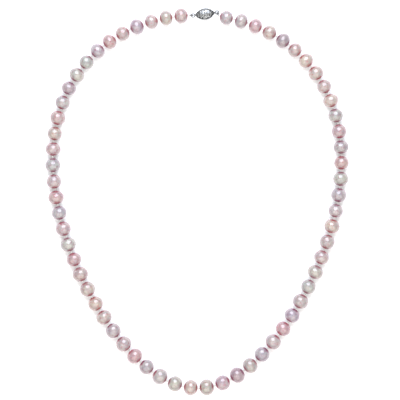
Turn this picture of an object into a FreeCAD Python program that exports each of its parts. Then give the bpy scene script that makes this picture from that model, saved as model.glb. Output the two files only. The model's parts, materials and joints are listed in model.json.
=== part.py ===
import FreeCAD, Part
import math
import os

from FreeCAD import Matrix, Placement, Rotation, Vector

# A knotted pearl necklace, laid flat in a closed loop and fastened by a filigree
# fish-hook clasp. Millimetres. +Z is up from the table, +Y points to the clasp,
# the origin is on the table at the middle of the necklace's outline.

# ---- pearls and silk ----
PEARLS_PER_SIDE_LINK = 3        # pearls carried by one length of silk
LINKS_PER_SIDE = 10             # lengths of silk on each side of the middle one
PEARL_ACROSS = 7.70             # diameter square to the drill hole, at the front
PEARL_ALONG = 6.82              # length along the drill hole, at the front
ACROSS_GRADUATION = 0.05        # share by which the pearls beside the clasp are smaller
ALONG_GRADUATION = 0.09
PEARL_SPREAD = 0.035            # how far single pearls differ from those two sizes
PEARL_SQUARENESS = 2.12         # 2 is a true ellipse, more is a fuller shoulder
SILK_DIAMETER = 0.66
DRILL_CLEARANCE = 0.05          # radial gap between silk and drill hole
KNOT_DIAMETER = 1.50
KNOT_GAP = 0.03                 # between a knot and the pearls or silk beside it

# ---- how the loop lies ----
LOOP_WIDTH_RATIO = 0.752        # half width over half length
LOOP_TAPER = 0.246              # fuller towards the clasp, narrower at the front
LOOP_LEAN = 0.0020              # the clasp end lies this share left of the front
CLASP_OFFSET_DEG = 2.3          # the clasp sits a little right of the centre line

# ---- French-wire loops and the two rings ----
RING_RADIUS = 0.85              # to the middle of the ring's wire
RING_WIRE_RADIUS = 0.25
GIMP_RADIUS = 0.32
GIMP_WALL = 0.10
GIMP_SILK_GAP = 0.02
GIMP_BEND_RADIUS = 0.72
GIMP_REACH = 2.05               # end knot's centre to the ring's centre
GIMP_FOOT = 0.45                # where the two legs leave the knot
GIMP_SWING_LEFT_DEG = -14.0
GIMP_SWING_RIGHT_DEG = 74.0

# ---- clasp ----
CLASP_LENGTH = 10.0
CLASP_WIDTH = 5.2
CLASP_FLATNESS = 0.64           # thickness over width
CLASP_WALL = 0.35
RIM_HALF_HEIGHT = 0.25
RIM_STEP = 0.12                 # the rim band stands out this far
RIM_WIRE_RADIUS = 0.20
TIP_BALL_RADIUS = 0.42
TIP_BALL_INSET = 0.10
RING_TO_TIP = 1.00              # ring's centre to the clasp's tip
MOUTH_X = 3.40                  # the case is cut off square here
COLLAR_LENGTH = 0.30
WINDOW_HALF_WIDTH = 0.84
WINDOW_TOP = 0.46
WINDOW_BOTTOM = -0.48
RIM_HOLES = 5
RIM_HOLE_RADIUS = 0.30
RIM_HOLE_INSET = 0.78
RIM_HOLE_PITCH = 1.30
LEAF_HOLES = 4
LEAF_HOLE_HALF_LENGTH = 0.46
LEAF_HOLE_HALF_WIDTH = 0.20
LEAF_HOLE_PITCH = 1.25
LEAF_HOLE_OFFSET = 0.62
LEAF_HOLE_TURN_DEG = 35.0

# ---- tongue: a flat strip folded back on itself as a spring ----
STRIP_THICKNESS = 0.20
TONGUE_HALF_WIDTH = 0.80
FOLD_X = -3.00
FOLD_RADIUS = 0.25              # to the middle of the strip
PLATE_Z = -0.34                 # middle of the lower leg
SHOULDER_Z = 0.60               # middle of the upper leg at its catching end
BAR_RADIUS = 0.20
BAR_X = 2.60
BAR_Z = 0.62
BAR_GAP = 0.05                  # between the shoulders and the catch bar
TAB_HALF_WIDTH = 0.35
TAB_SLOT_GAP = 0.10
TAB_Z = 0.25                    # middle of the tab where it passes under the bar
TAB_TIP_Z = 0.95
CAP_GAP = 0.08                  # between the tongue's end cap and the case
TONGUE_CLEARANCE = 0.10         # between the tongue and the inside of the case
MOUTH_RUN = 1.00                # length inside the mouth where the tongue fits more closely
MOUTH_CLEARANCE = 0.05          # its clearance there
CAP_RECESS_HALF_WIDTH = 0.50
CAP_RECESS_FLOOR = -0.22

LINKS = 2 * LINKS_PER_SIDE + 1
PEARLS = LINKS * PEARLS_PER_SIDE_LINK
SILK_RADIUS = SILK_DIAMETER / 2
DRILL_RADIUS = SILK_RADIUS + DRILL_CLEARANCE
KNOT_RADIUS = KNOT_DIAMETER / 2
KNOT_TO_DRILL = math.sqrt((KNOT_RADIUS + KNOT_GAP) ** 2 - DRILL_RADIUS ** 2)
STRAND_HEIGHT = PEARL_ACROSS / 2 * (1 + PEARL_SPREAD)

HALF_LENGTH = CLASP_LENGTH / 2
HALF_WIDTH = CLASP_WIDTH / 2
OUTLINE_RADIUS = (HALF_LENGTH ** 2 + HALF_WIDTH ** 2) / (2 * HALF_WIDTH)
OUTLINE_CENTRE_Y = HALF_WIDTH - OUTLINE_RADIUS
SHOULDER_X = BAR_X - BAR_RADIUS - BAR_GAP
FOLD_Z = PLATE_Z + FOLD_RADIUS

X_AXIS = Vector(1, 0, 0)
Y_AXIS = Vector(0, 1, 0)
Z_AXIS = Vector(0, 0, 1)


def link_name(link):
    """left_01 is beside the clasp's case, right_01 beside its tongue."""
    if link < LINKS_PER_SIDE:
        return "left_%02d" % (link + 1)
    if link == LINKS_PER_SIDE:
        return "front_centre"
    return "right_%02d" % (LINKS - link)


# ---------------------------------------------------------------- pearls

def pearl_size(index):
    """Across and along sizes of one pearl: hand-sorted, a little larger towards the front."""
    shy = 1 - math.sin(math.pi * (index + 0.5) / PEARLS)
    across = PEARL_ACROSS * (1 - ACROSS_GRADUATION * shy)
    across *= 1 + PEARL_SPREAD * math.sin(2.4 * index + 0.7)
    along = PEARL_ALONG * (1 - ALONG_GRADUATION * shy)
    along *= 1 + PEARL_SPREAD * math.sin(1.7 * index + 2.1)
    return across, along


def drilled_length(index):
    """Length of the drill hole, from rim to rim."""
    across, along = pearl_size(index)
    power = PEARL_SQUARENESS
    return along * (1 - (2 * DRILL_RADIUS / across) ** power) ** (1 / power)


def pearl_solid(index):
    """One drilled pearl about its own centre, hole along +Z."""
    across, along = pearl_size(index)
    power = PEARL_SQUARENESS
    rim = drilled_length(index) / along
    start = math.acos(rim)
    points = []
    for step in range(13):
        turn = start + (math.pi - 2 * start) * step / 12
        height = math.cos(turn)
        radius = (1 - abs(height) ** power) ** (1 / power)
        points.append(Vector(across / 2 * radius, 0, along / 2 * height))
    points[0].x = DRILL_RADIUS
    points[-1].x = DRILL_RADIUS
    curve = Part.BSplineCurve()
    curve.interpolate(points)
    outline = Part.Wire([curve.toShape(), Part.makeLine(points[-1], points[0])])
    return Part.Face(outline).revolve(Vector(0, 0, 0), Z_AXIS, 360)


# ---------------------------------------------------------------- the lie of the loop

def egg_point(turn, size):
    """A point of the loop; turn 0 is at the clasp, growing clockwise from above."""
    width = LOOP_WIDTH_RATIO * math.sin(turn)
    width *= 1 + LOOP_TAPER * math.cos(turn)
    return Vector(size * (width - LOOP_LEAN * math.cos(turn)), size * math.cos(turn), STRAND_HEIGHT)


def ring_centres():
    """Centres of the case's ring and the tongue's ring in the clasp's own frame."""
    reach = HALF_LENGTH + RING_TO_TIP
    return Vector(-reach, 0, 0), Vector(reach, 0, 0)


def end_knots():
    """Centres of the two end knots in the clasp's own frame."""
    left_ring, right_ring = ring_centres()
    left = math.radians(GIMP_SWING_LEFT_DEG)
    right = math.radians(GIMP_SWING_RIGHT_DEG)
    return (left_ring + Vector(-math.cos(left), -math.sin(left), 0) * GIMP_REACH,
            right_ring + Vector(math.cos(right), -math.sin(right), 0) * GIMP_REACH)


def loop_layout():
    """Knot centres from the case round to the tongue, and the clasp's placement."""
    pitches = [drilled_length(i) + 2 * KNOT_TO_DRILL for i in range(PEARLS)]
    strand = sum(pitches)
    first, last = end_knots()
    chord = (last - first).Length
    middle = math.radians(CLASP_OFFSET_DEG)
    size = strand / 5.4
    steps = 4000
    for trial in range(12):
        low, high = 0.0, 0.6
        for halving in range(40):
            half_gap = (low + high) / 2
            gap = egg_point(middle + half_gap, size) - egg_point(middle - half_gap, size)
            if gap.Length < chord:
                low = half_gap
            else:
                high = half_gap
        start = middle - half_gap
        sweep = 2 * math.pi - 2 * half_gap
        route = [egg_point(start - sweep * k / steps, size) for k in range(steps + 1)]
        travelled = [0.0]
        for k in range(steps):
            travelled.append(travelled[-1] + (route[k + 1] - route[k]).Length)
        size *= (strand + chord) / (travelled[-1] + chord)
    knots = [route[0]]
    distance = 0.0
    k = 0
    for pitch in pitches[:-1]:
        distance += pitch
        while travelled[k + 1] < distance * travelled[-1] / strand:
            k += 1
        part = (distance * travelled[-1] / strand - travelled[k]) / (travelled[k + 1] - travelled[k])
        knots.append(route[k] + (route[k + 1] - route[k]) * part)
    knots.append(route[-1])
    own = last - first
    laid = knots[-1] - knots[0]
    turn = math.degrees(math.atan2(laid.y, laid.x) - math.atan2(own.y, own.x))
    rotation = Rotation(Z_AXIS, turn)
    place = Placement((knots[0] + knots[-1]) * 0.5 - rotation.multVec((first + last) * 0.5), rotation)
    return knots, place


# ---------------------------------------------------------------- silk

def bar_between(start, end, radius):
    """A round bar from one point to another."""
    return Part.makeCylinder(radius, (end - start).Length, start, end - start)


def knot_ball(knots, index, radius):
    """A round knot, turned so that its seam lies clear of the silk that passes through it."""
    ahead = knots[min(index + 1, PEARLS)]
    back = knots[max(index - 1, 0)]
    along = ahead - back
    ball = Part.makeSphere(radius)
    ball.Placement = Placement(knots[index],
                               Rotation(Z_AXIS, math.degrees(math.atan2(along.y, along.x)) + 90))
    return ball


def silk_length(knots, link):
    """Silk through one link's pearls, with the knots inside it and the one at its far end."""
    first = link * PEARLS_PER_SIDE_LINK
    last = first + PEARLS_PER_SIDE_LINK
    pieces = [bar_between(knots[i], knots[i + 1], SILK_RADIUS) for i in range(first, last)]
    pieces += [knot_ball(knots, i, KNOT_RADIUS) for i in range(first + 1, last + 1)]
    silk = pieces[0].multiFuse(pieces[1:])
    if link > 0:
        silk = silk.cut(knot_ball(knots, first, KNOT_RADIUS + KNOT_GAP))
    return silk.removeSplitter()


def loop_path():
    """The way the silk takes through a ring: X from the knot to the ring, Z up."""
    bend = Vector(GIMP_REACH - GIMP_BEND_RADIUS, 0, 0)
    foot = Vector(GIMP_FOOT, 0, GIMP_FOOT)
    to_bend = bend - foot
    swing = math.atan2(to_bend.z, to_bend.x) + math.asin(GIMP_BEND_RADIUS / to_bend.Length)
    straight = math.sqrt(to_bend.Length ** 2 - GIMP_BEND_RADIUS ** 2)
    touch = foot + Vector(math.cos(swing), 0, math.sin(swing)) * straight
    under = Vector(1, 1, -1)
    foot_low = Vector(foot.x * under.x, 0, foot.z * under.z)
    touch_low = Vector(touch.x * under.x, 0, touch.z * under.z)
    tip = Vector(GIMP_REACH, 0, 0)
    edges = [Part.makeLine(foot, touch), Part.Arc(touch, tip, touch_low).toShape(),
             Part.makeLine(touch_low, foot_low)]
    return Part.Wire(edges), foot, touch - foot


def loop_sweep(radius):
    """A round section of the given radius swept along the loop's path."""
    path, foot, heading = loop_path()
    section = Part.Wire(Part.makeCircle(radius, foot, heading))
    return path.makePipeShell([section], True, True)


def loop_pieces(knot, ring):
    """Silk core and French wire of one end loop, from the end knot to the ring."""
    aim = ring - knot
    place = Placement(knot, Rotation(Z_AXIS, math.degrees(math.atan2(aim.y, aim.x))))
    core = loop_sweep(GIMP_RADIUS - GIMP_WALL - GIMP_SILK_GAP)
    wire = loop_sweep(GIMP_RADIUS).cut(loop_sweep(GIMP_RADIUS - GIMP_WALL))
    wire = wire.cut(Part.makeSphere(KNOT_RADIUS + GIMP_SILK_GAP, Vector(0, 0, 0)))
    for piece in (core, wire):
        piece.Placement = place
    return core, wire


# ---------------------------------------------------------------- clasp case

def marquise(inset):
    """The clasp's plump marquise body, drawn in by the given inset all round."""
    radius = OUTLINE_RADIUS - inset
    reach = math.sqrt(radius ** 2 - OUTLINE_CENTRE_Y ** 2)
    left, right = Vector(-reach, 0, 0), Vector(reach, 0, 0)
    arc = Part.Arc(left, Vector(0, HALF_WIDTH - inset, 0), right).toShape()
    body = Part.Face(Part.Wire([arc, Part.makeLine(right, left)])).revolve(Vector(0, 0, 0), X_AXIS, 360)
    flatten = Matrix()
    flatten.scale(1, 1, CLASP_FLATNESS)
    return body.transformGeometry(flatten)


def block(x0, x1, y0, y1, z0, z1):
    """A box from its limits."""
    return Part.makeBox(x1 - x0, y1 - y0, z1 - z0, Vector(x0, y0, z0))


def outline_y(x, inset):
    """Half width of the marquise outline at x, drawn in by the inset."""
    return math.sqrt((OUTLINE_RADIUS - inset) ** 2 - x ** 2) + OUTLINE_CENTRE_Y


def openwork():
    """Cutters for the pierced pattern: a row of round holes along each side, leaves between."""
    cutters = []
    middle = (MOUTH_X - HALF_LENGTH) / 2
    for side in (-1, 1):
        for k in range(RIM_HOLES):
            x = middle + (k - (RIM_HOLES - 1) / 2) * RIM_HOLE_PITCH
            y = side * outline_y(x, RIM_HOLE_INSET)
            cutters.append(Part.makeCylinder(RIM_HOLE_RADIUS, 3, Vector(x, y, 0)))
        for k in range(LEAF_HOLES):
            x = middle + (k - (LEAF_HOLES - 1) / 2) * LEAF_HOLE_PITCH
            oval = Part.Ellipse(Vector(0, 0, 0), LEAF_HOLE_HALF_LENGTH, LEAF_HOLE_HALF_WIDTH)
            hole = Part.Face(Part.Wire(oval.toShape())).extrude(Vector(0, 0, 3))
            hole.Placement = Placement(Vector(x, side * LEAF_HOLE_OFFSET, 0),
                                       Rotation(Z_AXIS, side * LEAF_HOLE_TURN_DEG))
            cutters.append(hole)
    return cutters


def rim_wire():
    """Round wire along both sides of the case at its middle height."""
    start = Vector(MOUTH_X, outline_y(MOUTH_X, 0), 0)
    centre = Vector(0, OUTLINE_CENTRE_Y, 0)
    out = start - centre
    sweep = math.degrees(math.atan2(-OUTLINE_CENTRE_Y, -HALF_LENGTH) - math.atan2(out.y, out.x))
    section = Part.Face(Part.Wire(Part.makeCircle(RIM_WIRE_RADIUS, start, Vector(-out.y, out.x, 0))))
    side = section.revolve(centre, Z_AXIS, sweep)
    other = side.mirror(Vector(0, 0, 0), Y_AXIS)
    return side.fuse(other)


def case_pieces():
    """The pieces of the clasp's case in the clasp's own frame."""
    inside = marquise(CLASP_WALL)
    shell = marquise(0).cut(inside)
    tip_ball = Part.makeSphere(TIP_BALL_RADIUS, Vector(TIP_BALL_INSET - HALF_LENGTH, 0, 0))
    front_wire = rim_wire().cut(tip_ball)
    front_wire.translate(Vector(0, 0, RIM_HALF_HEIGHT))
    front_wire = front_wire.cut(tip_ball)
    back_wire = front_wire.mirror(Vector(0, 0, 0), Z_AXIS)
    keep = block(-9, MOUTH_X, -9, 9, RIM_HALF_HEIGHT, 9)
    front = shell.common(keep).cut(front_wire.fuse(tip_ball)).cut(Part.makeCompound(openwork()))
    back = front.mirror(Vector(0, 0, 0), Z_AXIS)
    band = marquise(-RIM_STEP).cut(inside)
    band = band.common(block(-9, MOUTH_X, -9, 9, -RIM_HALF_HEIGHT, RIM_HALF_HEIGHT))
    band = band.fuse(tip_ball.cut(inside)).cut(front_wire).cut(back_wire)
    collar = inside.common(block(MOUTH_X - COLLAR_LENGTH, MOUTH_X, -9, 9, -9, 9))
    collar = collar.cut(block(0, 9, -WINDOW_HALF_WIDTH, WINDOW_HALF_WIDTH, WINDOW_BOTTOM, WINDOW_TOP))
    bar = Part.makeCylinder(BAR_RADIUS, CLASP_WIDTH, Vector(BAR_X, -HALF_WIDTH, BAR_Z), Y_AXIS)
    ring = Part.makeTorus(RING_RADIUS, RING_WIRE_RADIUS, ring_centres()[0]).cut(tip_ball)
    return {
        "case_front_filigree": [front],
        "case_back_filigree": [back],
        "case_rim_band": [band],
        "case_rim_wires": [front_wire, back_wire],
        "case_mouth_collar": [collar],
        "case_catch_bar": [bar.common(inside)],
        "case_end_ring": [ring],
    }


# ---------------------------------------------------------------- tongue

def strip(points, half_width):
    """A flat strip of the tongue's thickness that follows points in the X-Z plane."""
    half = STRIP_THICKNESS / 2
    upper, lower = [], []
    for k, (x, z) in enumerate(points):
        back = points[max(k - 1, 0)]
        ahead = points[min(k + 1, len(points) - 1)]
        run = math.hypot(ahead[0] - back[0], ahead[1] - back[1])
        side_x, side_z = -(ahead[1] - back[1]) / run, (ahead[0] - back[0]) / run
        upper.append(Vector(x + side_x * half, -half_width, z + side_z * half))
        lower.append(Vector(x - side_x * half, -half_width, z - side_z * half))
    outline = upper + lower[::-1]
    face = Part.Face(Part.makePolygon(outline + [outline[0]]))
    return face.extrude(Vector(0, 2 * half_width, 0))


def tongue_pieces():
    """The sliding half of the clasp in the clasp's own frame."""
    half = STRIP_THICKNESS / 2
    fold = Part.makeCylinder(FOLD_RADIUS + half, 2 * TONGUE_HALF_WIDTH,
                             Vector(FOLD_X, -TONGUE_HALF_WIDTH, FOLD_Z), Y_AXIS)
    fold = fold.cut(Part.makeCylinder(FOLD_RADIUS - half, 9, Vector(FOLD_X, -4.5, FOLD_Z), Y_AXIS))
    fold = fold.cut(block(FOLD_X, 9, -9, 9, -9, 9))
    plate = block(FOLD_X, HALF_LENGTH - 2 * TIP_BALL_RADIUS, -TONGUE_HALF_WIDTH, TONGUE_HALF_WIDTH,
                  PLATE_Z - half, PLATE_Z + half)
    near_mouth = marquise(CLASP_WALL + MOUTH_CLEARANCE)
    near_mouth = near_mouth.common(block(MOUTH_X - MOUTH_RUN, MOUTH_X, -9, 9, -9, 9))
    room = marquise(CLASP_WALL + TONGUE_CLEARANCE).fuse(near_mouth)
    room = room.fuse(block(MOUTH_X, 9, -9, 9, -9, 9))
    plate = plate.fuse(fold).common(room).removeSplitter()

    root = (FOLD_X + BAR_GAP / 2, FOLD_Z + FOLD_RADIUS)
    rise = (SHOULDER_Z - root[1]) / (SHOULDER_X - root[0])
    split_x = SHOULDER_X - 1.15
    leg = strip([root, (SHOULDER_X, SHOULDER_Z)], TONGUE_HALF_WIDTH)
    slot = TAB_HALF_WIDTH + TAB_SLOT_GAP
    leg = leg.cut(block(split_x, 9, -slot, slot, -9, 9))
    split_z = root[1] + rise * (split_x - root[0])
    tab = strip([(split_x - 0.3, split_z - 0.3 * rise), (split_x + 0.05, split_z), (2.05, TAB_Z),
                 (MOUTH_X - 0.1, TAB_Z), (4.15, TAB_Z + 0.2), (4.45, TAB_TIP_Z)], TAB_HALF_WIDTH)
    leaf = leg.common(room).fuse(tab).removeSplitter()

    tip_ball = Part.makeSphere(TIP_BALL_RADIUS, Vector(HALF_LENGTH - TIP_BALL_INSET, 0, 0))
    cap = marquise(0).common(block(MOUTH_X + CAP_GAP, 9, -9, 9, -9, 9)).fuse(tip_ball)
    cap = cap.cut(block(0, 4.62, -CAP_RECESS_HALF_WIDTH, CAP_RECESS_HALF_WIDTH, CAP_RECESS_FLOOR, 9))
    ring = Part.makeTorus(RING_RADIUS, RING_WIRE_RADIUS, ring_centres()[1]).cut(cap)
    return {
        "tongue_plate": [plate],
        "tongue_end_cap": [cap.cut(plate)],
        "tongue_end_ring": [ring],
        "hook_spring_leaf": [leaf],
    }


# ---------------------------------------------------------------- the whole necklace

def necklace():
    """Every piece in place: a dictionary of node name to solids, and the layout."""
    knots, clasp_place = loop_layout()
    pieces = {}
    for link in range(LINKS):
        pearls = []
        for index in range(link * PEARLS_PER_SIDE_LINK, (link + 1) * PEARLS_PER_SIDE_LINK):
            pearl = pearl_solid(index)
            along = knots[index + 1] - knots[index]
            pearl.Placement = Placement((knots[index] + knots[index + 1]) * 0.5, Rotation(Z_AXIS, along))
            pearls.append(pearl)
        pieces["pearls_" + link_name(link)] = pearls
        pieces["silk_" + link_name(link)] = [silk_length(knots, link)]

    rings = [clasp_place.multVec(centre) for centre in ring_centres()]
    core, wire = loop_pieces(knots[0], rings[0])
    first_silk = "silk_" + link_name(0)
    end_knot = knot_ball(knots, 0, KNOT_RADIUS)
    pieces[first_silk] = [pieces[first_silk][0].multiFuse([end_knot, core]).removeSplitter()]
    pieces["gimp_loop_left"] = [wire]
    core, wire = loop_pieces(knots[-1], rings[1])
    last_silk = "silk_" + link_name(LINKS - 1)
    pieces[last_silk] = [pieces[last_silk][0].fuse(core).removeSplitter()]
    pieces["gimp_loop_right"] = [wire]

    for name, solids in list(case_pieces().items()) + list(tongue_pieces().items()):
        for solid in solids:
            solid.Placement = clasp_place.multiply(solid.Placement)
        pieces[name] = solids

    everything = Part.makeCompound([solid for solids in pieces.values() for solid in solids])
    box = everything.optimalBoundingBox(False, False)
    shift = Vector(-(box.XMin + box.XMax) / 2, -(box.YMin + box.YMax) / 2, -box.ZMin)
    for solids in pieces.values():
        for solid in solids:
            solid.translate(shift)
    layout = {
        "knots": [knot + shift for knot in knots],
        "rings": [ring + shift for ring in rings],
        "clasp": Placement(shift, Rotation()).multiply(clasp_place),
    }
    return pieces, layout


def main():
    """Write one STEP file for each node."""
    os.makedirs("parts", exist_ok=True)
    pieces, layout = necklace()
    for name, solids in pieces.items():
        shape = solids[0] if len(solids) == 1 else Part.makeCompound(solids)
        shape.exportStep("parts/" + name + ".step")


if __name__ == "__main__":
    main()
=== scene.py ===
"""A knotted freshwater pearl necklace with a filigree fish-hook clasp, laid flat in a loop."""
import json
import logging
import math
import random
from dataclasses import dataclass, field
from enum import Enum
from typing import Any, Sequence

import bmesh
import bpy
from mathutils import Matrix, Vector, noise


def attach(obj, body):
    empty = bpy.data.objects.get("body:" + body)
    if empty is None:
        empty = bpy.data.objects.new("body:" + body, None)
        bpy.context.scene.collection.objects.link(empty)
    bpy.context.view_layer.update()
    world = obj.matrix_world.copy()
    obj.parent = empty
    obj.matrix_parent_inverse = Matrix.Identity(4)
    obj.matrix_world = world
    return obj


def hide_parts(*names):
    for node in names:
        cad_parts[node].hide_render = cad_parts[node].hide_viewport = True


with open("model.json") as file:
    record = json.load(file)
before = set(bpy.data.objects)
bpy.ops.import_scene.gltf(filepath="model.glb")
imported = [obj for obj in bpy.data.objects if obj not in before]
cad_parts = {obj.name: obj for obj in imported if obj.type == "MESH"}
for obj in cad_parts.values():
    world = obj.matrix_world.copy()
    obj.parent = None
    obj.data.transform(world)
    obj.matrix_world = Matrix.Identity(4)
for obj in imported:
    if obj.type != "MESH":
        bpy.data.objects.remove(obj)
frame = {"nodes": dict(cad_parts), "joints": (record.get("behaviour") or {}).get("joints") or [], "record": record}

LOG = logging.getLogger("necklace")
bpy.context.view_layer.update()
MM = 0.001
TURN = 2 * math.pi
UP = Vector((0.0, 0.0, 1.0))
CLASP_REACH = 12.0 * MM     # from the centre of the case's ring to the centre of the tongue's
NACRE_COLOURS = ("nacre_body", "nacre_second", "nacre_deep_rose_and_shade")
NACRE_DRILL = "nacre_drill"


# ---------------------------------------------------------------- small helpers

def linear(code: str) -> tuple[float, float, float, float]:
    """Turn an sRGB hex code into a linear colour.

    Args:
        code: Six hex digits.

    Returns:
        Linear red, green, blue and an alpha of 1.
    """
    parts = []
    for start in (0, 2, 4):
        value = int(code[start:start + 2], 16) / 255
        parts.append(value / 12.92 if value <= 0.04045 else ((value + 0.055) / 1.055) ** 2.4)
    return parts[0], parts[1], parts[2], 1.0


def share(wave: float) -> float:
    """Turn a wave between -1 and 1 into a share between 0 and 1."""
    return 0.5 + 0.5 * wave


def evenly(start: float, end: float, steps: int) -> list[float]:
    """Give the values from start to end in a number of equal steps."""
    return [start + (end - start) * step / steps for step in range(steps + 1)]


def add_node(tree: bpy.types.NodeTree, kind: str, settings: dict[str, Any] | None = None,
             **inputs: Any) -> bpy.types.Node:
    """Add a node, set its properties, and fill or link its inputs.

    Args:
        tree: The node tree that gets the node.
        kind: The node's type name.
        settings: Properties of the node itself.
        **inputs: Socket names with underscores for spaces, or i and an index; a socket is linked,
            any other value is set.

    Returns:
        The new node.
    """
    node = tree.nodes.new(kind)
    for name, value in (settings or {}).items():
        setattr(node, name, value)
    for name, value in inputs.items():
        key = int(name[1:]) if name[0] == "i" and name[1:].isdigit() else name.replace("_", " ")
        socket = node.inputs[key]
        if isinstance(value, bpy.types.NodeSocket):
            tree.links.new(value, socket)
        else:
            socket.default_value = value
    return node


def blank_material(name: str) -> tuple[bpy.types.Material, bpy.types.NodeTree, bpy.types.NodeSocket]:
    """Start a material that has no nodes but its coordinates.

    Args:
        name: The material's name.

    Returns:
        The material, its node tree and the socket of its Object coordinates.
    """
    material = bpy.data.materials.new(name)
    material.use_nodes = True
    tree = material.node_tree
    tree.nodes.clear()
    return material, tree, add_node(tree, "ShaderNodeTexCoord").outputs["Object"]


def finish_mesh(bm: bmesh.types.BMesh, name: str, smooth: bool = True) -> bpy.types.Object:
    """Turn a bmesh into an object at the origin.

    Args:
        bm: The finished bmesh, which is freed.
        name: The piece's name.
        smooth: Whether its faces shade smoothly.

    Returns:
        The new object.
    """
    mesh = bpy.data.meshes.new(name)
    bm.to_mesh(mesh)
    bm.free()
    for polygon in mesh.polygons:
        polygon.use_smooth = smooth
    piece = bpy.data.objects.new(name, mesh)
    bpy.context.scene.collection.objects.link(piece)
    return piece


def add_wire(bm: bmesh.types.BMesh, points: Sequence[Vector], radius: float, closed: bool = False,
             sides: int = 8) -> None:
    """Add a round wire along points to a bmesh, through a curve with a bevel.

    Args:
        bm: The bmesh that gets the wire.
        points: The wire's centre line.
        radius: The wire's radius.
        closed: Whether its ends meet.
        sides: Faces round the wire, an even number from 4 up.
    """
    curve = bpy.data.curves.new("wire", "CURVE")
    curve.dimensions = "3D"
    curve.bevel_depth = radius
    curve.bevel_resolution = sides // 2 - 2
    curve.use_fill_caps = not closed
    spline = curve.splines.new("POLY")
    spline.points.add(len(points) - 1)
    for knot, point in zip(spline.points, points):
        knot.co = (*point, 1.0)
    spline.use_cyclic_u = closed
    holder = bpy.data.objects.new("wire", curve)
    mesh = bpy.data.meshes.new_from_object(holder)
    bm.from_mesh(mesh)
    bpy.data.meshes.remove(mesh)
    bpy.data.objects.remove(holder)
    bpy.data.curves.remove(curve)


def turned_to(direction: Vector, about: Vector) -> Matrix:
    """Give the rotation that points +Z along a direction and +X near another.

    Args:
        direction: Where +Z goes.
        about: Roughly where +X goes.

    Returns:
        A four by four rotation.
    """
    z = direction.normalized()
    y = z.cross(about).normalized()
    x = y.cross(z)
    return Matrix((x, y, z)).transposed().to_4x4()


def loose_parts(mesh: bpy.types.Mesh) -> list[list[Vector]]:
    """Split a CAD node's mesh, which is loose triangles, into the solids it shows.

    Args:
        mesh: The node's mesh, which is left alone.

    Returns:
        The points of each solid.
    """
    bm = bmesh.new()
    bm.from_mesh(mesh)
    bmesh.ops.remove_doubles(bm, verts=bm.verts, dist=0.001 * MM)
    loose = set(bm.verts)
    parts = []
    while loose:
        part, waiting = [], [loose.pop()]
        while waiting:
            vert = waiting.pop()
            part.append(vert.co.copy())
            for edge in vert.link_edges:
                other = edge.other_vert(vert)
                if other in loose:
                    loose.remove(other)
                    waiting.append(other)
        parts.append(part)
    bm.free()
    return parts


def find_clasp_line() -> tuple[Vector, Vector]:
    """Read the clasp's line from the frame's joints.

    Returns:
        The centre of the case's ring, and the direction in which the tongue slides out.
    """
    joints = {joint["child"]: joint for joint in frame["joints"]}
    return Vector(joints["strand_left_01"]["pos_m"]), Vector(joints["tongue"]["axis"])


# ---------------------------------------------------------------- finishes

class Tint(Enum):
    """Natural colours of the strand's nacre in sRGB: its body, its second hue and its deep rose, which round the
    drill holes also serves as painted shade and reflection.
    """

    ROSE = ("a1aa9f", "909895", "904856")
    BLUSH = ("a39e96", "918d8d", "984855")
    MAUVE = ("959793", "85878a", "7a4460")
    LILAC = ("9ca7a1", "8b9597", "804860")
    SILVER = ("9fafa0", "8e9d96", "845464")
    PEACH = ("a5af9d", "939d93", "984f50")


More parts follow.
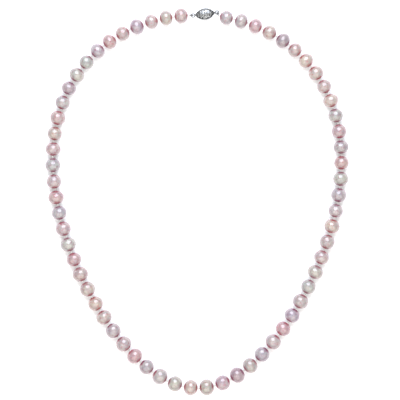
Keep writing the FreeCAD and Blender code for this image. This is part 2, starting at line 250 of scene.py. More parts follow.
@dataclass(frozen=True)
class NacreFinish:
    """Freshwater nacre, grown in thin layers and tumbled to a soft lustre.

    A pale body colour drifts to a second hue across each pearl. Deep rose flecks it all over, and round
    the drill holes it closes in as painted shade and painted reflection, where neighbouring pearls face
    each other. The clear outer layers tint it more where the eye meets them at a slant, and their many
    faces reflect more than one surface of the same stuff would.
    """

    name: str = "polished_freshwater_nacre"
    ior: float = 1.45
    roughness: float = 0.24
    coat: float = 1.0
    coat_ior: float = 1.58
    coat_roughness: float = 0.07
    coat_tint: str = "ebd5da"
    patch_mm: float = 2.6
    mottle_mm: float = 0.80
    growth_ring_mm: float = 0.42
    half_pearl_mm: float = 3.4
    relief: float = 0.42
    relief_mm: float = 0.06

    def make(self) -> bpy.types.Material:
        """Build the material, which reads each pearl's colour and drill attributes.

        Returns:
            The material.
        """
        material, tree, place = blank_material(self.name)
        body, second, deep = (
            add_node(tree, "ShaderNodeAttribute", {"attribute_name": name}).outputs["Color"]
            for name in NACRE_COLOURS)
        drill = add_node(tree, "ShaderNodeAttribute", {"attribute_name": NACRE_DRILL}).outputs["Fac"]
        patch = add_node(tree, "ShaderNodeTexNoise", Vector=place, Scale=1 / (self.patch_mm * MM),
                         Detail=2.0, Roughness=0.5).outputs["Fac"]
        patch = add_node(tree, "ShaderNodeMapRange", Value=patch, From_Min=0.40, From_Max=0.62).outputs[0]
        colour = add_node(tree, "ShaderNodeMix", {"data_type": "RGBA"}, i0=patch, i6=body,
                          i7=second).outputs[2]
        mottle = add_node(tree, "ShaderNodeTexNoise", Vector=place, Scale=1 / (self.mottle_mm * MM),
                          Detail=4.0, Roughness=0.6, Distortion=0.6).outputs["Fac"]
        # Near the drill holes the deep rose is painted shade and painted reflection, where neighbouring pearls
        # face each other; the flecks are the nacre's own colour.
        painted_shade_near_drill = add_node(tree, "ShaderNodeMapRange", {"interpolation_type": "SMOOTHSTEP"},
                              Value=drill, From_Min=0.62, From_Max=0.95, To_Max=0.90).outputs[0]
        fleck = add_node(tree, "ShaderNodeMapRange", Value=mottle, From_Min=0.48, From_Max=0.68,
                         To_Max=0.74).outputs[0]
        fleck_and_painted_shade = add_node(tree, "ShaderNodeMath", {"operation": "ADD", "use_clamp": True},
                          i0=painted_shade_near_drill, i1=fleck).outputs[0]
        colour = add_node(tree, "ShaderNodeMix", {"data_type": "RGBA"}, i0=fleck_and_painted_shade, i6=colour,
                          i7=deep).outputs[2]
        gloss = add_node(tree, "ShaderNodeMapRange", Value=mottle, From_Min=0.3, From_Max=0.8,
                         To_Min=self.roughness - 0.05, To_Max=self.roughness + 0.12).outputs[0]
        # Growth layers are far finer than this: the rings are drawn as coarse as they need to show.
        turn = add_node(tree, "ShaderNodeMath", {"operation": "MULTIPLY"}, i0=drill,
                        i1=self.half_pearl_mm / self.growth_ring_mm * TURN).outputs[0]
        rings = add_node(tree, "ShaderNodeMath", {"operation": "SINE"}, i0=turn).outputs[0]
        height = add_node(tree, "ShaderNodeMath", {"operation": "MULTIPLY_ADD"}, i0=rings, i1=0.14,
                          i2=mottle).outputs[0]
        bump = add_node(tree, "ShaderNodeBump", Strength=self.relief, Distance=self.relief_mm * MM,
                        Height=height).outputs[0]
        shader = add_node(tree, "ShaderNodeBsdfPrincipled", Base_Color=colour, Roughness=gloss,
                          IOR=self.ior, Normal=bump, Coat_Weight=self.coat, Coat_Tint=linear(self.coat_tint),
                          Coat_Roughness=self.coat_roughness, Coat_IOR=self.coat_ior)
        add_node(tree, "ShaderNodeOutputMaterial", Surface=shader.outputs[0])
        return material


@dataclass(frozen=True)
class SilkFinish:
    """Twisted filament silk, dyed pale and waxed: a soft thread with a faint sheen."""

    name: str = "twisted_knotting_silk"
    light: str = "dcd9d4"
    groove_shade: str = "b3aca9"
    roughness: float = 0.55
    ply_mm: float = 0.22
    relief_mm: float = 0.04

    def make(self) -> bpy.types.Material:
        """Build the material, with the two plies drawn as slanting bands, darker in the grooves between them as
        painted shade.

        Returns:
            The material.
        """
        material, tree, place = blank_material(self.name)
        # The plies keep their real width, so from afar they only soften the thread.
        plies = add_node(tree, "ShaderNodeTexWave", {"bands_direction": "DIAGONAL"}, Vector=place,
                         Scale=0.35 / (self.ply_mm * MM), Distortion=2.0, Detail=2.0,
                         Detail_Scale=2.0).outputs["Fac"]
        # The grooves between the plies are drawn darker: painted shade.
        ply_top_not_groove_shade = add_node(tree, "ShaderNodeMapRange", Value=plies, From_Min=0.15, From_Max=0.75).outputs[0]
        colour = add_node(tree, "ShaderNodeMix", {"data_type": "RGBA"}, i0=ply_top_not_groove_shade, i6=linear(self.groove_shade),
                          i7=linear(self.light)).outputs[2]
        bump = add_node(tree, "ShaderNodeBump", Strength=0.5, Distance=self.relief_mm * MM,
                        Height=plies).outputs[0]
        shader = add_node(tree, "ShaderNodeBsdfPrincipled", Base_Color=colour, Roughness=self.roughness,
                          Normal=bump, Sheen_Weight=0.4, Sheen_Roughness=0.4)
        add_node(tree, "ShaderNodeOutputMaterial", Surface=shader.outputs[0])
        return material


@dataclass(frozen=True)
class SilverFinish:
    """Sterling silver, cast or drawn and tumble polished, a little darker where it can't be rubbed.

    The near-black copies are painted shade: on the back, the tongue and the parts inside the case they
    stand for the shade seen through its piercings and mouth, and in the pits of the pierced front for
    the shade in its holes, so that the raised parts stand out bright. With pit_mm at zero it is smooth.
    """

    name: str
    light: str = "7c7c7b"
    dull: str = "3e3d3f"
    roughness: float = 0.27
    patch_mm: float = 1.4
    grain_mm: float = 0.35
    relief: float = 0.25
    relief_mm: float = 0.04
    pit_mm: float = 0.0
    pit_shade: str = "040404"

    def make(self) -> bpy.types.Material:
        """Build the material: bright metal with tarnish in soft patches and a fine cast skin.

        Returns:
            The material.
        """
        material, tree, place = blank_material(self.name)
        patch = add_node(tree, "ShaderNodeTexNoise", Vector=place, Scale=1 / (self.patch_mm * MM),
                         Detail=4.0, Roughness=0.6).outputs["Fac"]
        # A cast skin is finer than this: its grain is drawn as coarse as it needs to show.
        grain = add_node(tree, "ShaderNodeTexNoise", Vector=place, Scale=1 / (self.grain_mm * MM),
                         Detail=5.0, Roughness=0.65).outputs["Fac"]
        rubbed = add_node(tree, "ShaderNodeMapRange", Value=patch, From_Min=0.30, From_Max=0.52).outputs[0]
        colour = add_node(tree, "ShaderNodeMix", {"data_type": "RGBA"}, i0=rubbed, i6=linear(self.dull),
                          i7=linear(self.light)).outputs[2]
        height = grain
        if self.pit_mm:
            # Punched pits filled with painted shade, as black as the piercings look, so that only the ridges
            # between them shine.
            spot = add_node(tree, "ShaderNodeTexVoronoi", Vector=place, Scale=1 / (self.pit_mm * MM),
                            Randomness=0.45).outputs["Distance"]
            ridge = add_node(tree, "ShaderNodeMapRange", {"interpolation_type": "SMOOTHSTEP"},
                             Value=spot, From_Min=0.33, From_Max=0.41).outputs[0]
            colour = add_node(tree, "ShaderNodeMix", {"data_type": "RGBA"}, i0=ridge,
                              i6=linear(self.pit_shade), i7=colour).outputs[2]
            height = add_node(tree, "ShaderNodeMath", {"operation": "MULTIPLY_ADD"}, i0=ridge, i1=2.0,
                              i2=grain).outputs[0]
        gloss = add_node(tree, "ShaderNodeMapRange", Value=grain, From_Min=0.3, From_Max=0.75,
                         To_Min=self.roughness - 0.06, To_Max=self.roughness + 0.14).outputs[0]
        bump = add_node(tree, "ShaderNodeBump", Strength=self.relief, Distance=self.relief_mm * MM,
                        Height=height).outputs[0]
        shader = add_node(tree, "ShaderNodeBsdfPrincipled", Base_Color=colour, Metallic=1.0,
                          Roughness=gloss, Normal=bump)
        add_node(tree, "ShaderNodeOutputMaterial", Surface=shader.outputs[0])
        return material


@dataclass(frozen=True)
class TableFinish:
    """A sheet of smooth matt white board under the necklace, which shows hardly any gloss."""

    name: str = "matt_white_board"
    light: str = "f4f4f4"
    fibre: str = "f0f0f1"
    fibre_mm: float = 2.5
    roughness: float = 0.8
    specular: float = 0.2

    def make(self) -> bpy.types.Material:
        """Build the material, with a barely visible paper grain, coarser than a real one.

        Returns:
            The material.
        """
        material, tree, place = blank_material(self.name)
        grain = add_node(tree, "ShaderNodeTexNoise", Vector=place, Scale=1 / (self.fibre_mm * MM),
                         Detail=3.0).outputs["Fac"]
        clear = add_node(tree, "ShaderNodeMapRange", Value=grain, From_Min=0.3, From_Max=0.7).outputs[0]
        colour = add_node(tree, "ShaderNodeMix", {"data_type": "RGBA"}, i0=clear, i6=linear(self.fibre),
                          i7=linear(self.light)).outputs[2]
        shader = add_node(tree, "ShaderNodeBsdfPrincipled", Base_Color=colour, Roughness=self.roughness,
                          Specular_IOR_Level=self.specular)
        add_node(tree, "ShaderNodeOutputMaterial", Surface=shader.outputs[0])
        return material


# ---------------------------------------------------------------- the strand

@dataclass(frozen=True)
class Pearl:
    """One drilled pearl, near round and a little uneven.

    Its index counts from the clasp's case. Fullness is its size against the CAD pearl before the
    lumps and ridges, which are shares of that size, take their part; stretch makes it longer along
    the drill hole. The drill lip is how far in the bore's first ring lies, as a share of the CAD
    pearl's length.
    """

    index: int
    centre: Vector
    axis: Vector
    across: float
    along: float
    drill_radius: float = 0.38 * MM
    drill_lip: float = 0.12
    segments: int = 56
    rings: int = 30
    fullness: float = 1.022
    stretch: float = 1.04
    lump: tuple[float, float] = (0.012, 0.026)
    lumps_round: float = 1.1
    pimple: float = 0.004
    pimples_round: float = 4.0
    ridge: float = 0.004
    ridge_waves: float = 21.0
    ridged_shares: tuple[float, ...] = (0.0, 0.0, 0.35, 1.0)
    skew: float = 0.006
    noise_reach: float = 9.0
    drift: tuple[float, float] = (0.94, 1.05)
    first_seed: int = 1000

    def add_to(self, bm: bmesh.types.BMesh, tint: Tint) -> None:
        """Add the pearl to its link's bmesh.

        Args:
            bm: The bmesh that gets the pearl.
            tint: Its natural colours.
        """
        dice = random.Random(self.first_seed + self.index)
        ball = bmesh.new()
        for name in NACRE_COLOURS:
            ball.verts.layers.float_color.new(name)
        drill_layer = ball.verts.layers.float.new(NACRE_DRILL)
        bmesh.ops.create_uvsphere(ball, u_segments=self.segments, v_segments=self.rings, radius=1.0)
        poles = [vert for vert in ball.verts if abs(vert.co.z) > 0.999]
        bmesh.ops.delete(ball, geom=poles, context="VERTS")
        for vert in ball.verts:
            vert[drill_layer] = abs(vert.co.z)
        self.shape_skin(ball, dice)
        self.paint(ball, tint, dice)
        self.drill(ball)
        spin = Matrix.Rotation(dice.uniform(0, TURN), 4, "Z")
        bmesh.ops.transform(ball, verts=ball.verts,
                            matrix=Matrix.Translation(self.centre) @ turned_to(self.axis, UP) @ spin)
        mesh = bpy.data.meshes.new("pearl")
        ball.to_mesh(mesh)
        ball.free()
        bm.from_mesh(mesh)
        bpy.data.meshes.remove(mesh)

    def shape_skin(self, ball: bmesh.types.BMesh, dice: random.Random) -> None:
        """Bring a ball to the pearl's size, with soft lumps and, on some pearls, growth ridges.

        Args:
            ball: A ball of radius 1, drilled along Z.
            dice: The pearl's own random numbers.
        """
        shift = Vector([dice.uniform(-self.noise_reach, self.noise_reach) for _ in range(3)])
        ridged = dice.choice(self.ridged_shares)
        lump = dice.uniform(*self.lump)
        skew = dice.uniform(-self.skew, self.skew)
        for vert in ball.verts:
            way = vert.co.normalized()
            lost = lump * share(noise.noise(way * self.lumps_round + shift))
            lost += self.pimple * share(noise.noise(way * self.pimples_round + shift))
            lost += ridged * self.ridge * share(math.sin(way.z * self.ridge_waves + shift.x))
            radius = (self.fullness - lost + skew * way.z * abs(way.z)) / 2
            vert.co = Vector((way.x * radius * self.across, way.y * radius * self.across,
                              way.z * radius * self.along * self.stretch))

    def paint(self, ball: bmesh.types.BMesh, tint: Tint, dice: random.Random) -> None:
        """Give the pearl its three colours, each a little off the tint's.

        Args:
            ball: The pearl's bmesh.
            tint: Its natural colours.
            dice: The pearl's own random numbers.
        """
        drift = [dice.uniform(*self.drift) for _ in range(3)]
        for name, code in zip(NACRE_COLOURS, tint.value):
            layer = ball.verts.layers.float_color[name]
            colour = tuple(part * change for part, change in zip(linear(code), drift)) + (1.0,)
            for vert in ball.verts:
                vert[layer] = colour

    def drill(self, ball: bmesh.types.BMesh) -> None:
        """Draw the open poles in to the drill hole's size and join them through the pearl.

        Args:
            ball: The pearl's bmesh, open at both poles.
        """
        inner = []
        for side in (1, -1):
            rim = [edge for edge in ball.edges if edge.is_boundary and edge.verts[0].co.z * side > 0]
            for vert in {vert for edge in rim for vert in edge.verts}:
                flat = Vector((vert.co.x, vert.co.y, 0)).normalized() * self.drill_radius
                vert.co = Vector((flat.x, flat.y, vert.co.z))
            grown = bmesh.ops.extrude_edge_only(ball, edges=rim)["geom"]
            bore = [item for item in grown if isinstance(item, bmesh.types.BMVert)]
            bmesh.ops.translate(ball, verts=bore, vec=(0, 0, -side * self.drill_lip * self.along))
            inner += [item for item in grown if isinstance(item, bmesh.types.BMEdge)]
        bmesh.ops.bridge_loops(ball, edges=inner)
        bmesh.ops.recalc_face_normals(ball, faces=ball.faces)


@dataclass
class EndLoop:
    """A French-wire loop: fine coiled silver wire that guards the silk where it passes a ring."""

    label: str
    body: str
    knot: Vector
    ring: Vector
    bend_radius: float = 0.72 * MM
    foot: float = 0.45 * MM
    silk_radius: float = 0.2 * MM
    coil_radius: float = 0.245 * MM
    wire_radius: float = 0.07 * MM
    pitch: float = 0.155 * MM
    silk_points: int = 60
    coil_points: int = 400

    def path(self, count: int) -> list[Vector]:
        """Give points along the loop, evenly spaced.

        Args:
            count: How many points.

        Returns:
            The points, from the upper leg round the bend to the lower leg.
        """
        reach = (self.ring - self.knot).length
        bend = Vector((reach - self.bend_radius, 0.0))
        foot = Vector((self.foot, self.foot))
        gap = bend - foot
        swing = math.atan2(gap.y, gap.x) + math.asin(self.bend_radius / gap.length)
        straight = math.sqrt(gap.length ** 2 - self.bend_radius ** 2)
        heading = Vector((math.cos(swing), math.sin(swing)))
        touch = foot + heading * straight
        opening = math.atan2(touch.y, touch.x - bend.x)
        arc = 2 * opening * self.bend_radius
        total = 2 * straight + arc
        forward = (self.ring - self.knot).normalized()
        points = []
        for run in evenly(0.0, total, count - 1):
            if run < straight:
                spot = foot + heading * run
            elif run < straight + arc:
                angle = opening - (run - straight) / self.bend_radius
                spot = bend + Vector((math.cos(angle), math.sin(angle))) * self.bend_radius
            else:
                spot = foot + heading * (total - run)
                spot = Vector((spot.x, -spot.y))
            points.append(self.knot + forward * spot.x + UP * spot.y)
        return points

    def build(self, metal: bpy.types.Material) -> bpy.types.Object:
        """Model the coil.

        Args:
            metal: Its material.

        Returns:
            The piece.
        """
        line = self.path(self.coil_points)
        last = len(line) - 1
        length = sum((b - a).length for a, b in zip(line, line[1:]))
        side = UP.cross(self.ring - self.knot).normalized()
        turns = length / self.pitch
        points = []
        for index, spot in enumerate(line):
            ahead = line[min(index + 1, last)] - line[max(index - 1, 0)]
            out = side.cross(ahead).normalized()
            angle = TURN * turns * index / last
            points.append(spot + (side * math.cos(angle) + out * math.sin(angle)) * self.coil_radius)
        bm = bmesh.new()
        add_wire(bm, points, self.wire_radius, sides=6)
        piece = finish_mesh(bm, "french_wire_" + self.label)
        piece.data.materials.append(metal)
        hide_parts("gimp_loop_" + self.label)
        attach(piece, self.body)
        return piece


@dataclass
class StrandLink:
    """Three pearls on one length of knotted silk, which move as one body.

    The knot at its start belongs to the link before it, except on the first link, so the thread
    starts a little past it. Knot depth is the knot's thickness against its turns, and knot twist is
    the angle from each knot to the next.
    """

    label: str
    body: str
    first_knot: Vector
    first_index: int
    knot_radius: float = 0.62 * MM
    drawn_radius: float = 0.24 * MM
    knot_depth: float = 1.55
    knot_twist: float = 1.3
    knot_points: int = 30
    thread_radius: float = 0.33 * MM
    past_knot: float = 0.80 * MM
    pearls: list[Pearl] = field(default_factory=list)
    knots: list[Vector] = field(default_factory=list)

    def find_pearls(self) -> Vector:
        """Read the pearls' places from the CAD node, nearest the link's first knot first.

        Returns:
            The centre of the knot at the link's far end.
        """
        spans = []
        for points in loose_parts(frame["nodes"]["pearls_" + self.label].data):
            low = Vector([min(co[k] for co in points) for k in range(3)])
            high = Vector([max(co[k] for co in points) for k in range(3)])
            spans.append(((low + high) / 2, high.z - low.z, points))
        spans.sort(key=lambda span: (span[0] - self.first_knot).length)
        knot = self.first_knot
        self.knots = [knot]
        for offset, (middle, across, points) in enumerate(spans):
            centre = Vector((middle.x, middle.y, self.first_knot.z))
            axis = (centre - knot).normalized()
            reach = [axis.dot(co - centre) for co in points]
            self.pearls.append(Pearl(self.first_index + offset, centre, axis, across,
                                     max(reach) - min(reach)))
            knot = centre * 2 - knot
            self.knots.append(knot)
        return knot

    def build_pearls(self, tints: Sequence[Tint], nacre: bpy.types.Material) -> bpy.types.Object:
        """Model the link's pearls as one piece.

        Args:
            tints: The natural colours of every pearl of the strand, in stringing order.
            nacre: Their material.

        Returns:
            The piece.
        """
        bm = bmesh.new()
        for pearl in self.pearls:
            pearl.add_to(bm, tints[pearl.index])
        piece = finish_mesh(bm, "nacre_" + self.label)
        smoothing = piece.modifiers.new("smooth", "SUBSURF")
        smoothing.levels = smoothing.render_levels = 1
        piece.data.materials.append(nacre)
        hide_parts("pearls_" + self.label)
        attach(piece, self.body)
        return piece

    def tie_knot(self, bm: bmesh.types.BMesh, number: int, knot: Vector) -> None:
        """Tie one overhand knot round the link's line.

        Args:
            bm: The bmesh that gets the knot.
            number: Its place among the link's own knots.
            knot: Its centre.
        """
        nearest = min(self.pearls, key=lambda pearl: (pearl.centre - knot).length)
        facing = Matrix.Translation(knot) @ turned_to(nearest.axis, UP)
        facing = facing @ Matrix.Rotation(self.knot_twist * (self.first_index + number), 4, "Z")
        turn = (self.knot_radius - self.drawn_radius) / 3
        points = []
        for step in range(self.knot_points):
            t = TURN * step / self.knot_points
            points.append(facing @ Vector((turn * (math.sin(t) + 2 * math.sin(2 * t)),
                                           turn * (math.cos(t) - 2 * math.cos(2 * t)),
                                           -self.knot_depth * turn * math.sin(3 * t))))
        add_wire(bm, points, self.drawn_radius, closed=True, sides=8)

    def build_silk(self, silk: bpy.types.Material, end_loop: EndLoop | None) -> bpy.types.Object:
        """Model the link's silk: a thread through the pearls and an overhand knot at each gap.

        Args:
            silk: Its material.
            end_loop: The loop that ties it to the clasp, on the first and last links.

        Returns:
            The piece.
        """
        bm = bmesh.new()
        is_first = self.first_index == 0
        start = self.knots[0] if is_first else self.knots[0] + self.pearls[0].axis * self.past_knot
        add_wire(bm, [start] + self.knots[1:], self.thread_radius, sides=10)
        for number, knot in enumerate(self.knots if is_first else self.knots[1:]):
            self.tie_knot(bm, number, knot)
        if end_loop:
            add_wire(bm, end_loop.path(end_loop.silk_points), end_loop.silk_radius, sides=8)
        piece = finish_mesh(bm, "knotted_silk_" + self.label)
        piece.data.materials.append(silk)
        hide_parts("silk_" + self.label)
        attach(piece, self.body)
        return piece


@dataclass
class Strand:
    """The whole knotted strand, from the clasp's case round to its tongue.

    The common tints follow one another along it. The tints apart are those of the pearls that
    stand out, by their index from the clasp's case.
    """

    common: tuple[Tint, ...] = (
        Tint.ROSE, Tint.PEACH, Tint.ROSE, Tint.LILAC, Tint.ROSE, Tint.BLUSH, Tint.LILAC,
        Tint.ROSE, Tint.SILVER, Tint.PEACH, Tint.ROSE)
    apart: tuple[tuple[Tint, tuple[int, ...]], ...] = (
        (Tint.MAUVE, (9, 34, 58)), (Tint.BLUSH, (20, 51, 60)),
        (Tint.SILVER, (7, 19, 42, 46, 48)), (Tint.PEACH, (2, 55, 57)))
    pearls_per_link: int = 3
    links: list[StrandLink] = field(default_factory=list)
    loops: list[EndLoop] = field(default_factory=list)

    def match_tints(self, count: int) -> list[Tint]:
        """Give every pearl its tint: the common run, with the pearls that stand out put in.

        Args:
            count: How many pearls the strand has.

        Returns:
            The tints in stringing order from the clasp's case.
        """
        tints = [self.common[index % len(self.common)] for index in range(count)]
        for tint, places in self.apart:
            for index in places:
                tints[index] = tint
        return tints

    def find_end_knot(self, label: str, far_knot: Vector) -> Vector:
        """Work back from the far knot of the first link to the knot beside the clasp.

        Args:
            label: The first link's label.
            far_knot: The knot where the second link starts.

        Returns:
            The centre of the end knot.
        """
        return StrandLink(label, "", far_knot, 0).find_pearls()

    def lay_out(self) -> None:
        """Find every link, pearl, knot and end loop from the frame."""
        labels = [s["node"][len("pearls_"):] for s in frame["record"]["subparts"]
                  if s["node"].startswith("pearls_")]
        joints = {joint["child"]: joint for joint in frame["joints"]}
        knots = [Vector(joints["strand_" + label]["pos_m"]) for label in labels]
        knots[0] = self.find_end_knot(labels[0], knots[1])
        for number, (label, knot) in enumerate(zip(labels, knots)):
            link = StrandLink(label, "strand_" + label, knot, self.pearls_per_link * number)
            last_knot = link.find_pearls()
            self.links.append(link)
        ring, along = find_clasp_line()
        self.loops = [EndLoop("left", self.links[0].body, knots[0], ring),
                      EndLoop("right", self.links[-1].body, last_knot, ring + along * CLASP_REACH)]

    def build(self, nacre: bpy.types.Material, silk: bpy.types.Material,
              gimp: bpy.types.Material) -> None:
        """Model every link and both end loops.

        Args:
            nacre: The pearls' material.
            silk: The silk's material.
            gimp: The French wire's material.
        """
        tints = self.match_tints(sum(len(link.pearls) for link in self.links))
        end_loops = {loop.body: loop for loop in self.loops}
        for link in self.links:
            link.build_pearls(tints, nacre)
            link.build_silk(silk, end_loops.get(link.body))
            LOG.info("link %s: %d pearls", link.label, len(link.pearls))
        for loop in self.loops:
            loop.build(gimp)
            LOG.info("french wire %s", loop.label)


# ---------------------------------------------------------------- the clasp

@dataclass
class FishHookClasp:
    """A pierced marquise case with a folded spring tongue.

    In its own frame +X runs along it towards the tongue, from a middle between the two rings, and
    the case's outline is two arcs that meet in points. Flatness is the dome's height against its
    half width; the curls lie at a share of the half width and draw in as they turn.
    """

    half_length: float = 5.0 * MM
    half_width: float = 2.6 * MM
    flatness: float = 0.64
    mouth: float = 3.40 * MM
    rim_height: float = 0.25 * MM
    rope_radius: float = 0.105 * MM
    rope_offset: float = 0.10 * MM
    rope_stop: float = 0.25 * MM
    rope_steps: int = 240
    steps_per_twist: int = 12
    stem_radius: float = 0.15 * MM
    stem_span: tuple[float, float] = (-4.2 * MM, 3.1 * MM)
    stem_sway: float = 0.26 * MM
    stem_wave: float = 3.65 * MM
    stem_lift: float = 0.03 * MM
    border_radius: float = 0.10 * MM
    border_span: tuple[float, float] = (-4.25 * MM, 3.30 * MM)
    border_share: float = 0.50
    curl_radius: float = 0.095 * MM
    curl_count: int = 6
    curl_start: float = -3.55 * MM
    curl_pitch: float = 1.28 * MM
    curl_size: float = 0.46 * MM
    curl_shape: tuple[float, float] = (1.1, 0.62)
    curl_share: float = 0.76
    curl_turn: float = 4.4
    curl_closing: float = 0.62
    edge_margin: float = 0.12 * MM
    wire_lift: float = 0.02 * MM
    line_steps: int = 60
    curl_steps: int = 24

    def place(self) -> Matrix:
        """Find where the clasp lies.

        Returns:
            The matrix from the clasp's own frame to the necklace's.
        """
        ring, along = find_clasp_line()
        turn = Matrix((along, UP.cross(along), UP)).transposed().to_4x4()
        return Matrix.Translation(ring + along * (CLASP_REACH / 2)) @ turn

    def outline(self, x: float) -> float:
        """Give the half width of the marquise at x."""
        radius = (self.half_length ** 2 + self.half_width ** 2) / (2 * self.half_width)
        return math.sqrt(max(radius ** 2 - x ** 2, 0.0)) + self.half_width - radius

    def on_dome(self, x: float, y: float, lift: float) -> Vector:
        """Give the point of the front dome over x and y, raised by a lift."""
        half = self.outline(x)
        return Vector((x, y, self.flatness * math.sqrt(max(half ** 2 - y ** 2, 0.0)) + lift))

    def dress(self, bright: bpy.types.Material, ground: bpy.types.Material,
              inner: bpy.types.Material, gimp: bpy.types.Material) -> None:
        """Give the CAD pieces of the clasp their silver.

        Args:
            bright: Polished silver for the band and the thumb tab.
            ground: Pitted silver for the pierced front, with painted shade in the pits.
            inner: Near-black silver, painted shade, for the back, the tongue and what lies inside.
            gimp: Drawn silver for the rings.
        """
        finishes = (
            (bright, ("case_rim_band", "hook_spring_leaf")),
            (ground, ("case_front_filigree",)),
            # The inner parts take near-black silver: painted shade for the inside of the case.
            (inner, ("case_back_filigree", "case_mouth_collar", "case_catch_bar", "tongue_plate",
                     "tongue_end_cap")),
            (gimp, ("case_end_ring", "tongue_end_ring")))
        for material, names in finishes:
            for name in names:
                piece = frame["nodes"][name]
                if not piece.material_slots:
                    piece.data.materials.append(material)
                for holder in piece.material_slots:
                    holder.material = material

    def build_rope(self, metal: bpy.types.Material) -> bpy.types.Object:
        """Model the twisted pairs of wires along both sides of the case's two seams.

        Args:
            metal: Their material.

        Returns:
            The piece.
        """
        place = self.place()
        bm = bmesh.new()
        for level in (1, -1):
            for side in (1, -1):
                line = [Vector((x, side * self.outline(x), level * self.rim_height))
                        for x in evenly(self.mouth, self.rope_stop - self.half_length, self.rope_steps)]
                for phase in (0.0, math.pi):
                    points = []
                    for index, spot in enumerate(line):
                        ahead = line[min(index + 1, self.rope_steps)] - line[max(index - 1, 0)]
                        out = ahead.normalized().cross(UP)
                        angle = phase + TURN * index / self.steps_per_twist
                        points.append(place @ (spot + (out * math.cos(angle) + UP * math.sin(angle))
                                               * self.rope_offset))
                    add_wire(bm, points, self.rope_radius, sides=6)
        piece = finish_mesh(bm, "case_rope_wires")
        piece.data.materials.append(metal)
        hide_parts("case_rim_wires")
        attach(piece, "clasp_case")
        return piece

    def draw_stem(self) -> list[Vector]:
        """Draw the waving wire down the middle of the dome."""
        start = self.stem_span[0]
        return [self.on_dome(x, self.stem_sway * math.sin(TURN * (x - start) / self.stem_wave),
                             self.stem_lift)
                for x in evenly(*self.stem_span, self.line_steps)]

    def draw_border(self, side: int) -> list[Vector]:
        """Draw the wire that follows the outline half way out, on a side of +1 or -1."""
        return [self.on_dome(x, side * self.outline(x) * self.border_share, self.wire_lift)
                for x in evenly(*self.border_span, self.line_steps)]

    def draw_curl(self, side: int, middle: float) -> list[Vector]:
        """Draw one curl between the border and the rim.

        Args:
            side: Its side of the stem, +1 or -1.
            middle: The curl's place along the clasp.

        Returns:
            Its line, from the outer end inwards.
        """
        points = []
        for done in evenly(0.0, 1.0, self.curl_steps):
            angle = self.curl_turn * done
            reach = self.curl_size * (1 - self.curl_closing * done)
            x = middle + reach * math.cos(angle) * self.curl_shape[0]
            y = self.outline(middle) * self.curl_share + reach * self.curl_shape[1] * math.sin(angle)
            y = side * min(abs(y), self.outline(x) - self.edge_margin)
            points.append(self.on_dome(x, y, self.wire_lift))
        return points

    def build_filigree(self, name: str, level: int, metal: bpy.types.Material) -> bpy.types.Object:
        """Model the scrolls soldered over one pierced shell.

        Args:
            name: The shell's name, front or back.
            level: The shell's side, +1 for the front and -1 for the back.
            metal: Their material.

        Returns:
            The piece.
        """
        wires = [(self.draw_stem(), self.stem_radius, 8)]
        for side in (1, -1):
            wires.append((self.draw_border(side), self.border_radius, 6))
            for number in range(self.curl_count):
                curl = self.draw_curl(side, self.curl_start + self.curl_pitch * number)
                wires.append((curl, self.curl_radius, 6))
        seat = self.place() @ Matrix.Diagonal((1, 1, level, 1))
        bm = bmesh.new()
        for line, radius, sides in wires:
            add_wire(bm, [seat @ point for point in line], radius, sides=sides)
        piece = finish_mesh(bm, "filigree_scrolls_" + name)
        piece.data.materials.append(metal)
        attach(piece, "clasp_case")
        return piece

    def build(self, bright: bpy.types.Material, ground: bpy.types.Material,
              inner: bpy.types.Material, gimp: bpy.types.Material) -> None:
        """Dress the clasp's pieces and add its rope and filigree.

        Args:
            bright: Polished silver.
            ground: Pitted silver with painted shade in the pits.
            inner: Near-black silver, painted shade for the inside of the case.
            gimp: Drawn silver.
        """
        self.dress(bright, ground, inner, gimp)
        LOG.info("clasp dressed")
        self.build_rope(bright)
        LOG.info("rope wires")
        for name, level in (("front", 1), ("back", -1)):
            self.build_filigree(name, level, bright)
            LOG.info("filigree scrolls %s", name)


# ---------------------------------------------------------------- table, lights and camera

@dataclass(frozen=True)
class SoftLight:
    """A round or oval soft light that faces the necklace; sizes in metres, power in watts."""

    name: str
    place: tuple[float, float, float]
    size: tuple[float, float]
    power: float
    colour: str

    def hang(self) -> None:
        """Hang the light."""
        data = bpy.data.lights.new(self.name, "AREA")
        data.shape = "ELLIPSE"
        data.size, data.size_y = self.size
        data.energy = self.power
        data.color = linear(self.colour)[:3]
        light = bpy.data.objects.new(self.name, data)
        light.location = self.place
        light.rotation_euler = (-Vector(self.place)).to_track_quat("-Z", "Y").to_euler()
        bpy.context.scene.collection.objects.link(light)


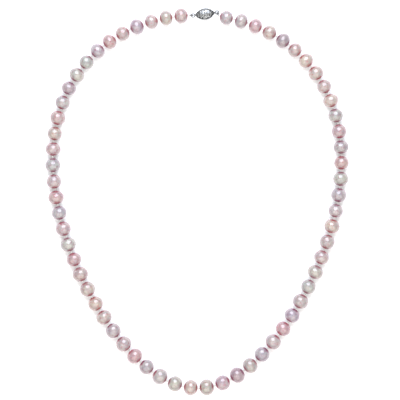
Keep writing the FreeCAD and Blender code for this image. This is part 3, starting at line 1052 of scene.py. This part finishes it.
@dataclass
class Studio:
    """A white table seen from straight above, under a cool key light, a front fill and a panel."""

    table_size: float = 2.4
    view_width: float = 0.1988
    view_height: float = 1.2
    view_centre: tuple[float, float] = (0.00148, 0.00085)
    sensor_mm: float = 36.0
    room: float = 0.75
    lights: tuple[SoftLight, ...] = (
        SoftLight("key_softbox", (0.0, 0.50, 0.56), (0.76, 0.76), 10.0, "e9f2ff"),
        SoftLight("front_fill", (0.0, -0.48, 0.57), (1.50, 1.05), 7.0, "fffdf8"),
        SoftLight("overhead_panel", (0.0, 0.0, 1.6), (2.0, 2.0), 3.0, "ffffff"))

    def lay_table(self) -> bpy.types.Object:
        """Make the table top.

        Returns:
            The table top, which is no part of the necklace.
        """
        bm = bmesh.new()
        bmesh.ops.create_grid(bm, x_segments=4, y_segments=4, size=self.table_size / 2)
        table = finish_mesh(bm, "table_top", smooth=False)
        table.data.materials.append(TableFinish().make())
        return table

    def set_camera(self) -> None:
        """Look straight down on the necklace with its clasp at the top."""
        data = bpy.data.cameras.new("camera")
        data.sensor_width = self.sensor_mm
        data.lens = self.sensor_mm * self.view_height / self.view_width
        data.clip_end = 10.0
        camera = bpy.data.objects.new("camera", data)
        camera.location = (*self.view_centre, self.view_height)
        bpy.context.scene.collection.objects.link(camera)
        bpy.context.scene.camera = camera

    def set_world(self) -> None:
        """Give the room a soft grey, so that only the lights show bright in the gloss."""
        world = bpy.data.worlds.new("room")
        bpy.context.scene.world = world
        world.use_nodes = True
        shade = world.node_tree.nodes["Background"]
        shade.inputs["Color"].default_value = linear("ffffff")
        shade.inputs["Strength"].default_value = self.room

    def build(self) -> None:
        """Set up the table, lights, room and camera."""
        self.lay_table()
        for light in self.lights:
            light.hang()
        self.set_world()
        self.set_camera()
        view = bpy.context.scene.view_settings
        view.view_transform = "Standard"
        view.look = "None"
        LOG.info("studio ready")


def main() -> None:
    """Build the necklace on its table."""
    logging.basicConfig(level=logging.INFO, format="%(name)s: %(message)s")
    nacre = NacreFinish().make()
    silk = SilkFinish().make()
    bright = SilverFinish("polished_sterling_silver").make()
    # The pits' near-black is painted shade for the piercings of the front.
    ground = SilverFinish("pitted_silver_with_painted_shade", light="969696", dull="515052",
                          pit_mm=1.15).make()
    # Near-black silver for the inner parts: painted shade for the inside of the case.
    inner = SilverFinish("inner_silver_painted_shade", light="262627", dull="0e0e0f",
                         roughness=0.42).make()
    gimp = SilverFinish("drawn_silver_french_wire", light="4e4e4e", dull="2b2a2c",
                        roughness=0.24, relief=0.1).make()
    strand = Strand()
    strand.lay_out()
    strand.build(nacre, silk, gimp)
    FishHookClasp().build(bright, ground, inner, gimp)
    Studio().build()


if __name__ == "__main__":
    main()
